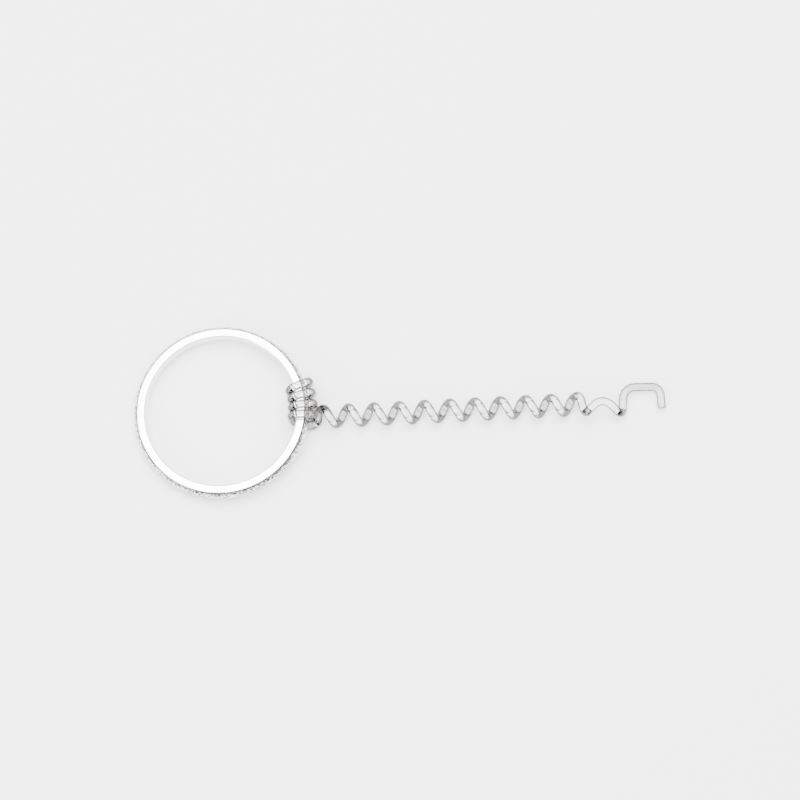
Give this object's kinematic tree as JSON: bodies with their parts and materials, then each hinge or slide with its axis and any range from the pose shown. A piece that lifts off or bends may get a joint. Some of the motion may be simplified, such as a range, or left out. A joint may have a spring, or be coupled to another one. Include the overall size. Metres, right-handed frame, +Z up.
{
  "type": "finger ring with a spiral size adjuster",
  "caption": "Plain silver-coloured finger ring with a clear spiral size adjuster wound round its band and drawn out to one side.",
  "frame": {"origin": "centre of the ring's finger hole, midway between its side faces", "axes": "+Z up from the table that the object lies on; +X from the ring's centre towards the far end of the spiral; the ring's own axis leans 3.2 degrees from +Z towards -X"},
  "size_m": [0.0638, 0.0212, 0.004],
  "materials": {
    "silver": "polished flat side faces, smooth bore and a finely hammered outer edge",
    "clear_wire": "clear colourless soft plastic with a glossy drawn surface"
  },
  "bodies": {
    "coil": {"wound_turn_1": "clear_wire", "wound_turn_2": "clear_wire", "wound_turn_3": "clear_wire", "wound_turn_4": "clear_wire", "lead_out": "clear_wire"},
    "band": {"ring": "silver"},
    "swing_bend": {"swing_bend": "clear_wire"},
    "turn_1": {"open_turn_1": "clear_wire"},
    "turn_2": {"open_turn_2": "clear_wire"},
    "turn_3": {"open_turn_3": "clear_wire"},
    "curl_bend_1": {"curl_bend_1": "clear_wire"},
    "turn_4": {"open_turn_4": "clear_wire"},
    "turn_5": {"open_turn_5": "clear_wire"},
    "turn_6": {"open_turn_6": "clear_wire"},
    "curl_bend_2": {"curl_bend_2": "clear_wire"},
    "turn_7": {"open_turn_7": "clear_wire"},
    "turn_8": {"open_turn_8": "clear_wire"},
    "turn_9": {"open_turn_9": "clear_wire"},
    "curl_bend_3": {"curl_bend_3": "clear_wire"},
    "turn_10": {"open_turn_10": "clear_wire"},
    "arch": {"drawn_arch": "clear_wire"},
    "hook": {"end_hook": "clear_wire"}
  },
  "joints": [
    {"name": "ring_turn", "type": "hinge", "parent": "coil", "child": "band", "pos_m": [0, 0, 0], "axis": [-0.056, 0, 0.9984], "continuous": true},
    {"name": "tail_lift", "type": "hinge", "parent": "coil", "child": "swing_bend", "pos_m": [0.01205, 0.00057, 0.00001], "axis": [0.0628, -0.998, 0], "range_deg": [0, 25]},
    {"name": "tail_sway", "type": "hinge", "parent": "swing_bend", "child": "turn_1", "pos_m": [0.01287, -0.00036, 0.00099], "axis": [0, 0, 1], "range_deg": [-25, 25]},
    {"name": "spiral_stretch", "type": "slide", "parent": "turn_1", "child": "turn_2", "axis": [0.998, 0.0628, 0], "range_m": [-0.0015, 0.0006]},
    {"name": "spiral_stretch_2", "type": "slide", "parent": "turn_2", "child": "turn_3", "axis": [0.998, 0.0628, 0], "range_m": [-0.0015, 0.0006]},
    {"name": "spiral_curl", "type": "hinge", "parent": "turn_3", "child": "curl_bend_1", "pos_m": [0.02043, 0.00012, -0.00096], "axis": [0, 0, 1], "range_deg": [-20, 20]},
    {"name": "spiral_stretch_3", "type": "slide", "parent": "curl_bend_1", "child": "turn_4", "axis": [0.998, 0.0628, 0], "range_m": [-0.0015, 0.0006]},
    {"name": "spiral_stretch_4", "type": "slide", "parent": "turn_4", "child": "turn_5", "axis": [0.998, 0.0628, 0], "range_m": [-0.0015, 0.0006]},
    {"name": "spiral_stretch_5", "type": "slide", "parent": "turn_5", "child": "turn_6", "axis": [0.998, 0.0628, 0], "range_m": [-0.0015, 0.0006]},
    {"name": "spiral_curl_2", "type": "hinge", "parent": "turn_6", "child": "curl_bend_2", "pos_m": [0.0295, 0.00069, -0.00096], "axis": [0, 0, 1], "range_deg": [-20, 20]},
    {"name": "spiral_stretch_6", "type": "slide", "parent": "curl_bend_2", "child": "turn_7", "axis": [0.998, 0.0628, 0], "range_m": [-0.0015, 0.0006]},
    {"name": "spiral_stretch_7", "type": "slide", "parent": "turn_7", "child": "turn_8", "axis": [0.998, 0.0628, 0], "range_m": [-0.0015, 0.0006]},
    {"name": "spiral_stretch_8", "type": "slide", "parent": "turn_8", "child": "turn_9", "axis": [0.998, 0.0628, 0], "range_m": [-0.0015, 0.0006]},
    {"name": "spiral_curl_3", "type": "hinge", "parent": "turn_9", "child": "curl_bend_3", "pos_m": [0.03857, 0.00126, -0.00096], "axis": [0, 0, 1], "range_deg": [-20, 20]},
    {"name": "spiral_stretch_9", "type": "slide", "parent": "curl_bend_3", "child": "turn_10", "axis": [0.998, 0.0628, 0], "range_m": [-0.0015, 0.0006]},
    {"name": "spiral_stretch_10", "type": "slide", "parent": "turn_10", "child": "arch", "axis": [0.998, 0.0628, 0], "range_m": [-0.0015, 0.0006]},
    {"name": "hook_bend", "type": "hinge", "parent": "arch", "child": "hook", "pos_m": [0.04816, 0.00232, -0.00076], "axis": [0, 0, 1], "range_deg": [-20, 20]}
  ],
  "couplings": [
    {"joint": "spiral_stretch_2", "follows": "spiral_stretch", "ratio": 1},
    {"joint": "spiral_stretch_3", "follows": "spiral_stretch", "ratio": 1},
    {"joint": "spiral_stretch_4", "follows": "spiral_stretch", "ratio": 1},
    {"joint": "spiral_stretch_5", "follows": "spiral_stretch", "ratio": 1},
    {"joint": "spiral_curl_2", "follows": "spiral_curl", "ratio": 1},
    {"joint": "spiral_stretch_6", "follows": "spiral_stretch", "ratio": 1},
    {"joint": "spiral_stretch_7", "follows": "spiral_stretch", "ratio": 1},
    {"joint": "spiral_stretch_8", "follows": "spiral_stretch", "ratio": 1},
    {"joint": "spiral_curl_3", "follows": "spiral_curl", "ratio": 1},
    {"joint": "spiral_stretch_9", "follows": "spiral_stretch", "ratio": 1},
    {"joint": "spiral_stretch_10", "follows": "spiral_stretch", "ratio": 1}
  ]
}
